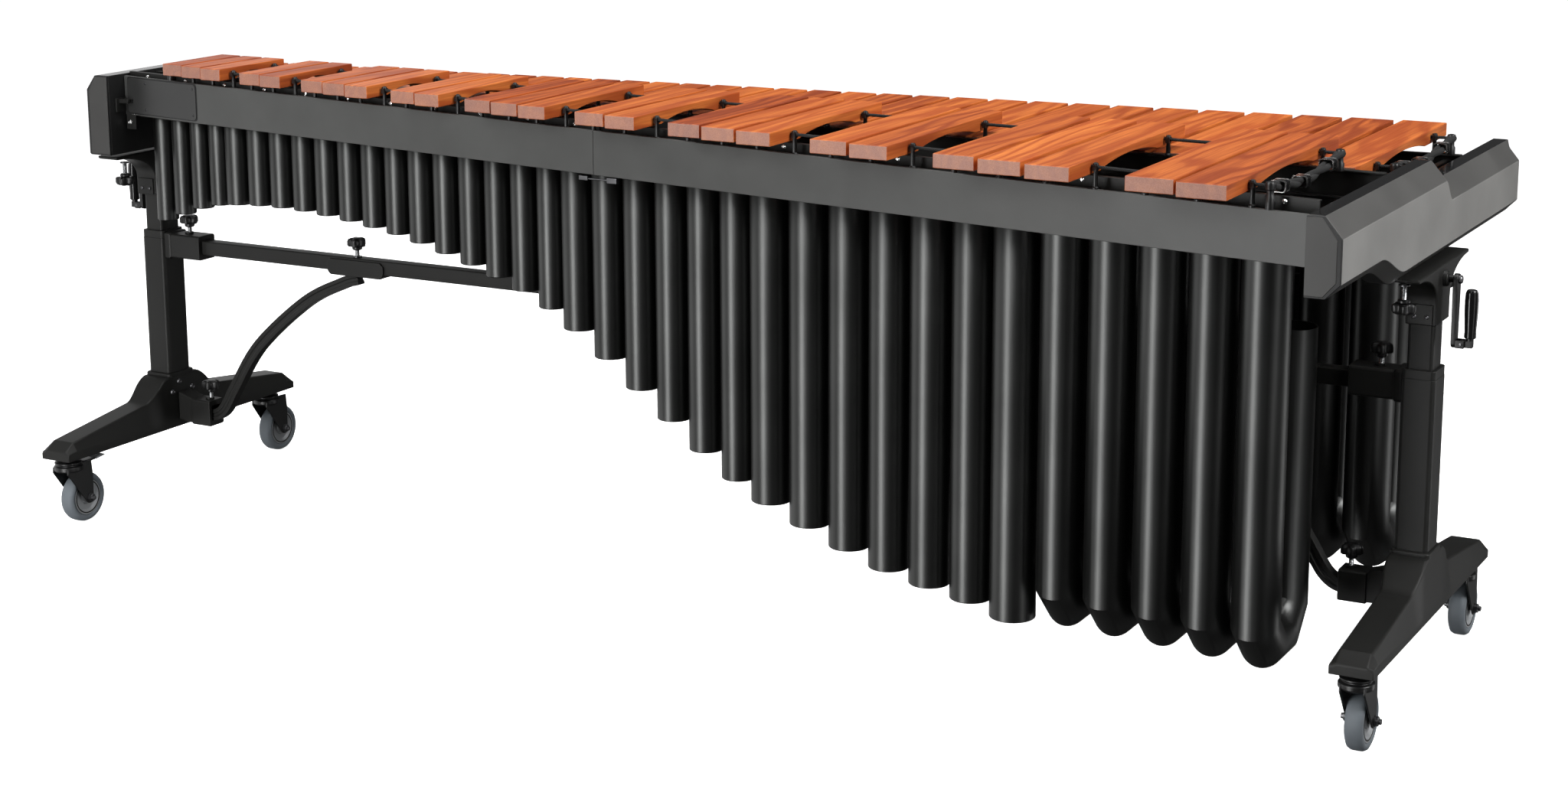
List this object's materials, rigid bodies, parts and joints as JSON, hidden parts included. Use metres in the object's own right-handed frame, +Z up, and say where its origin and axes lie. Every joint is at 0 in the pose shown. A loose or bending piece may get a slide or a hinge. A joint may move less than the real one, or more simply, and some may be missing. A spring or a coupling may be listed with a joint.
{
  "type": "concert marimba",
  "caption": "Concert marimba with wooden bars in two rows on cords, a curved display of tube resonators and a height-adjustable frame on casters",
  "frame": {"origin": "on the floor, under the middle of the bounding box", "axes": "+X to the low end, -Y to the audience, +Z up"},
  "size_m": [2.8032, 1.1246, 0.928],
  "materials": {
    "black_frame": "satin black powder coat",
    "grey_rail": "satin dark grey powder coat",
    "grey_panel": "satin grey powder coat",
    "tube_black": "satin black anodised",
    "rosewood": "oiled, grain along the bar",
    "black_plastic": "moulded",
    "grey_tread": "smooth tread",
    "grey_hub": "moulded",
    "steel": "zinc plated"
  },
  "bodies": {
    "base": {"high_end_foot": "black_frame", "high_end_outer_column": "black_frame", "high_end_brace": "black_frame", "high_end_brace_socket": "black_frame", "low_end_foot": "black_frame", "low_end_outer_column": "black_frame", "low_end_brace": "black_frame", "low_end_brace_socket": "black_frame", "stretcher_beam": "black_frame"},
    "upper_frame": {"high_end_inner_column": "black_frame", "high_end_head": "black_frame", "high_end_panel": "grey_panel", "low_end_inner_column": "black_frame", "low_end_head": "black_frame", "low_end_panel": "grey_panel", "high_front_fascia": "grey_rail", "high_rear_rail": "black_frame", "high_natural_bars": "rosewood", "high_accidental_bars": "rosewood", "high_front_resonators": "tube_black", "high_rear_resonators": "tube_black", "low_front_fascia": "grey_rail", "low_rear_rail": "black_frame", "low_natural_bars": "rosewood", "low_accidental_bars": "rosewood", "low_front_resonators": "tube_black", "low_rear_resonators": "tube_black", "accidental_inner_rail": "black_frame", "natural_inner_rail": "black_frame"},
    "high_crank": {"high_end_crank": "black_plastic"},
    "high_grip": {"high_end_crank_grip": "black_plastic"},
    "high_screw": {"high_end_lead_screw": "steel"},
    "low_crank": {"low_end_crank": "black_plastic"},
    "low_grip": {"low_end_crank_grip": "black_plastic"},
    "low_screw": {"low_end_lead_screw": "steel"},
    "high_front_caster": {"high_front_fork": "black_plastic"},
    "high_front_wheel": {"high_front_tread": "grey_tread", "high_front_hub": "grey_hub"},
    "high_front_brake": {"high_front_brake_pedal": "grey_hub"},
    "high_rear_caster": {"high_rear_fork": "black_plastic"},
    "high_rear_wheel": {"high_rear_tread": "grey_tread", "high_rear_hub": "grey_hub"},
    "low_front_caster": {"low_front_fork": "black_plastic"},
    "low_front_wheel": {"low_front_tread": "grey_tread", "low_front_hub": "grey_hub"},
    "low_front_brake": {"low_front_brake_pedal": "grey_hub"},
    "low_rear_caster": {"low_rear_fork": "black_plastic"},
    "low_rear_wheel": {"low_rear_tread": "grey_tread", "low_rear_hub": "grey_hub"},
    "high_end_beam_knob": {"high_end_beam_knob": "black_plastic"},
    "high_end_brace_knob": {"high_end_brace_knob": "black_plastic"},
    "high_end_foot_knob": {"high_end_foot_knob": "black_plastic"},
    "high_front_panel_knob": {"high_front_panel_knob": "black_plastic"},
    "high_rear_panel_knob": {"high_rear_panel_knob": "black_plastic"},
    "low_end_beam_knob": {"low_end_beam_knob": "black_plastic"},
    "low_end_brace_knob": {"low_end_brace_knob": "black_plastic"},
    "low_end_foot_knob": {"low_end_foot_knob": "black_plastic"},
    "low_front_panel_knob": {"low_front_panel_knob": "black_plastic"},
    "low_rear_panel_knob": {"low_rear_panel_knob": "black_plastic"}
  },
  "joints": [
    {"name": "height_slide", "type": "slide", "parent": "base", "child": "upper_frame", "axis": [0, 0, 1], "range_m": [-0.04, 0.16]},
    {"name": "high_crank_turn", "type": "hinge", "parent": "upper_frame", "child": "high_crank", "pos_m": [-1.319, 0.018, 0.704], "axis": [-1, 0, 0], "range_deg": [-1441, 5761]},
    {"name": "high_grip_fold", "type": "hinge", "parent": "high_crank", "child": "high_grip", "pos_m": [-1.379, 0.018, 0.6], "axis": [0, -1, 0], "range_deg": [0, 90]},
    {"name": "high_screw_turn", "type": "hinge", "parent": "upper_frame", "child": "high_screw", "pos_m": [-1.319, 0.018, 0.5], "axis": [0, 0, 1], "range_deg": [-1441, 5761]},
    {"name": "low_crank_turn", "type": "hinge", "parent": "upper_frame", "child": "low_crank", "pos_m": [1.319, 0.018, 0.704], "axis": [1, 0, 0], "range_deg": [-1441, 5761]},
    {"name": "low_grip_fold", "type": "hinge", "parent": "low_crank", "child": "low_grip", "pos_m": [1.379, 0.018, 0.6], "axis": [0, 1, 0], "range_deg": [0, 90]},
    {"name": "low_screw_turn", "type": "hinge", "parent": "upper_frame", "child": "low_screw", "pos_m": [1.319, 0.018, 0.5], "axis": [0, 0, 1], "range_deg": [-1441, 5761]},
    {"name": "high_front_swivel", "type": "hinge", "parent": "base", "child": "high_front_caster", "pos_m": [-1.319, -0.293, 0.13], "axis": [0, 0, 1], "continuous": true},
    {"name": "high_front_roll", "type": "hinge", "parent": "high_front_caster", "child": "high_front_wheel", "pos_m": [-1.319, -0.258, 0.05], "axis": [1, 0, 0], "continuous": true},
    {"name": "high_front_brake_press", "type": "hinge", "parent": "high_front_caster", "child": "high_front_brake", "pos_m": [-1.319, -0.259, 0.121], "axis": [-1, 0, 0], "range_deg": [0, 15]},
    {"name": "high_rear_swivel", "type": "hinge", "parent": "base", "child": "high_rear_caster", "pos_m": [-1.319, 0.322, 0.13], "axis": [0, 0, 1], "continuous": true},
    {"name": "high_rear_roll", "type": "hinge", "parent": "high_rear_caster", "child": "high_rear_wheel", "pos_m": [-1.319, 0.357, 0.05], "axis": [1, 0, 0], "continuous": true},
    {"name": "low_front_swivel", "type": "hinge", "parent": "base", "child": "low_front_caster", "pos_m": [1.319, -0.293, 0.13], "axis": [0, 0, 1], "continuous": true},
    {"name": "low_front_roll", "type": "hinge", "parent": "low_front_caster", "child": "low_front_wheel", "pos_m": [1.319, -0.258, 0.05], "axis": [1, 0, 0], "continuous": true},
    {"name": "low_front_brake_press", "type": "hinge", "parent": "low_front_caster", "child": "low_front_brake", "pos_m": [1.319, -0.259, 0.121], "axis": [-1, 0, 0], "range_deg": [0, 15]},
    {"name": "low_rear_swivel", "type": "hinge", "parent": "base", "child": "low_rear_caster", "pos_m": [1.319, 0.322, 0.13], "axis": [0, 0, 1], "continuous": true},
    {"name": "low_rear_roll", "type": "hinge", "parent": "low_rear_caster", "child": "low_rear_wheel", "pos_m": [1.319, 0.357, 0.05], "axis": [1, 0, 0], "continuous": true},
    {"name": "high_end_beam_knob_turn", "type": "hinge", "parent": "base", "child": "high_end_beam_knob", "pos_m": [-1.248, 0.018, 0.57], "axis": [0, 0, 1], "continuous": true},
    {"name": "high_end_brace_knob_turn", "type": "hinge", "parent": "base", "child": "high_end_brace_knob", "pos_m": [-0.819, 0.018, 0.56], "axis": [0, 0, 1], "continuous": true},
    {"name": "high_end_foot_knob_turn", "type": "hinge", "parent": "base", "child": "high_end_foot_knob", "pos_m": [-1.212, 0.018, 0.22], "axis": [0, 0, 1], "continuous": true},
    {"name": "high_front_panel_knob_turn", "type": "hinge", "parent": "upper_frame", "child": "high_front_panel_knob", "pos_m": [-1.311, -0.096, 0.67], "axis": [0, 0, 1], "continuous": true},
    {"name": "high_rear_panel_knob_turn", "type": "hinge", "parent": "upper_frame", "child": "high_rear_panel_knob", "pos_m": [-1.311, 0.132, 0.67], "axis": [0, 0, 1], "continuous": true},
    {"name": "low_end_beam_knob_turn", "type": "hinge", "parent": "base", "child": "low_end_beam_knob", "pos_m": [1.248, 0.018, 0.57], "axis": [0, 0, 1], "continuous": true},
    {"name": "low_end_brace_knob_turn", "type": "hinge", "parent": "base", "child": "low_end_brace_knob", "pos_m": [0.819, 0.018, 0.56], "axis": [0, 0, 1], "continuous": true},
    {"name": "low_end_foot_knob_turn", "type": "hinge", "parent": "base", "child": "low_end_foot_knob", "pos_m": [1.212, 0.018, 0.22], "axis": [0, 0, 1], "continuous": true},
    {"name": "low_front_panel_knob_turn", "type": "hinge", "parent": "upper_frame", "child": "low_front_panel_knob", "pos_m": [1.311, -0.096, 0.67], "axis": [0, 0, 1], "continuous": true},
    {"name": "low_rear_panel_knob_turn", "type": "hinge", "parent": "upper_frame", "child": "low_rear_panel_knob", "pos_m": [1.311, 0.132, 0.67], "axis": [0, 0, 1], "continuous": true}
  ],
  "couplings": [
    {"joint": "high_crank_turn", "follows": "height_slide", "rad_per_m": 628.32},
    {"joint": "high_screw_turn", "follows": "height_slide", "rad_per_m": 628.32},
    {"joint": "low_crank_turn", "follows": "height_slide", "rad_per_m": 628.32},
    {"joint": "low_screw_turn", "follows": "height_slide", "rad_per_m": 628.32}
  ]
}
